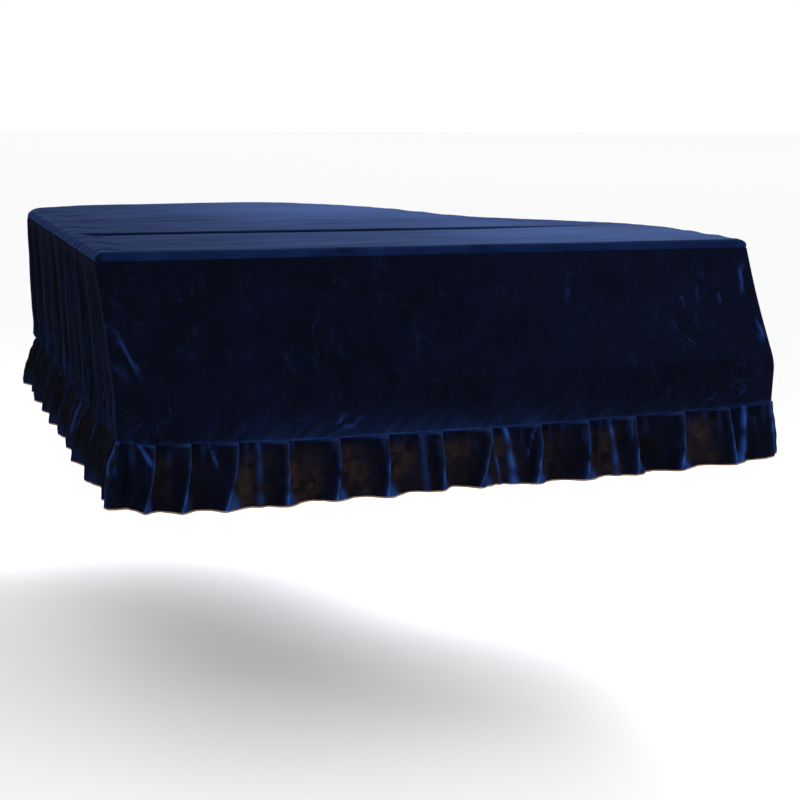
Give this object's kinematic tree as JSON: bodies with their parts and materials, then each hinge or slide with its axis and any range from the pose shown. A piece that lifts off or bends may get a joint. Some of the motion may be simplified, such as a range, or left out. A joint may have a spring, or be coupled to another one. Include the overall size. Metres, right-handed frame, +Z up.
{
  "type": "fitted grand piano cover",
  "caption": "Hollow velvet dust cover for a grand piano: flat lid-shaped top, sloping front, gathered sides and a pleated ruffle along the lower edge.",
  "frame": {"origin": "on the underside of the rear top panel, where the lid carries the cover, 0.72 m from the lid's left side and 0.62 m behind its front edge", "axes": "+X to the right along the keyboard, +Y back to the tail, +Z up"},
  "size_m": [1.6292, 1.777, 0.5167],
  "materials": {
    "velvet_top": "navy velvet seen along its pile, with a grey-blue sheen",
    "velvet_front": "smooth navy velvet, almost black where it faces the eye",
    "velvet_skirt": "navy velvet in soft upright folds",
    "velvet_ruffle": "royal-blue velvet pleats with an overlocked golden-brown hem"
  },
  "bodies": {
    "root": {"top_front_panel": "velvet_top", "top_rear_panel": "velvet_top", "front_panel": "velvet_front", "side_skirt": "velvet_skirt", "front_ruffle": "velvet_ruffle", "side_ruffle": "velvet_ruffle"}
  },
  "joints": []
}
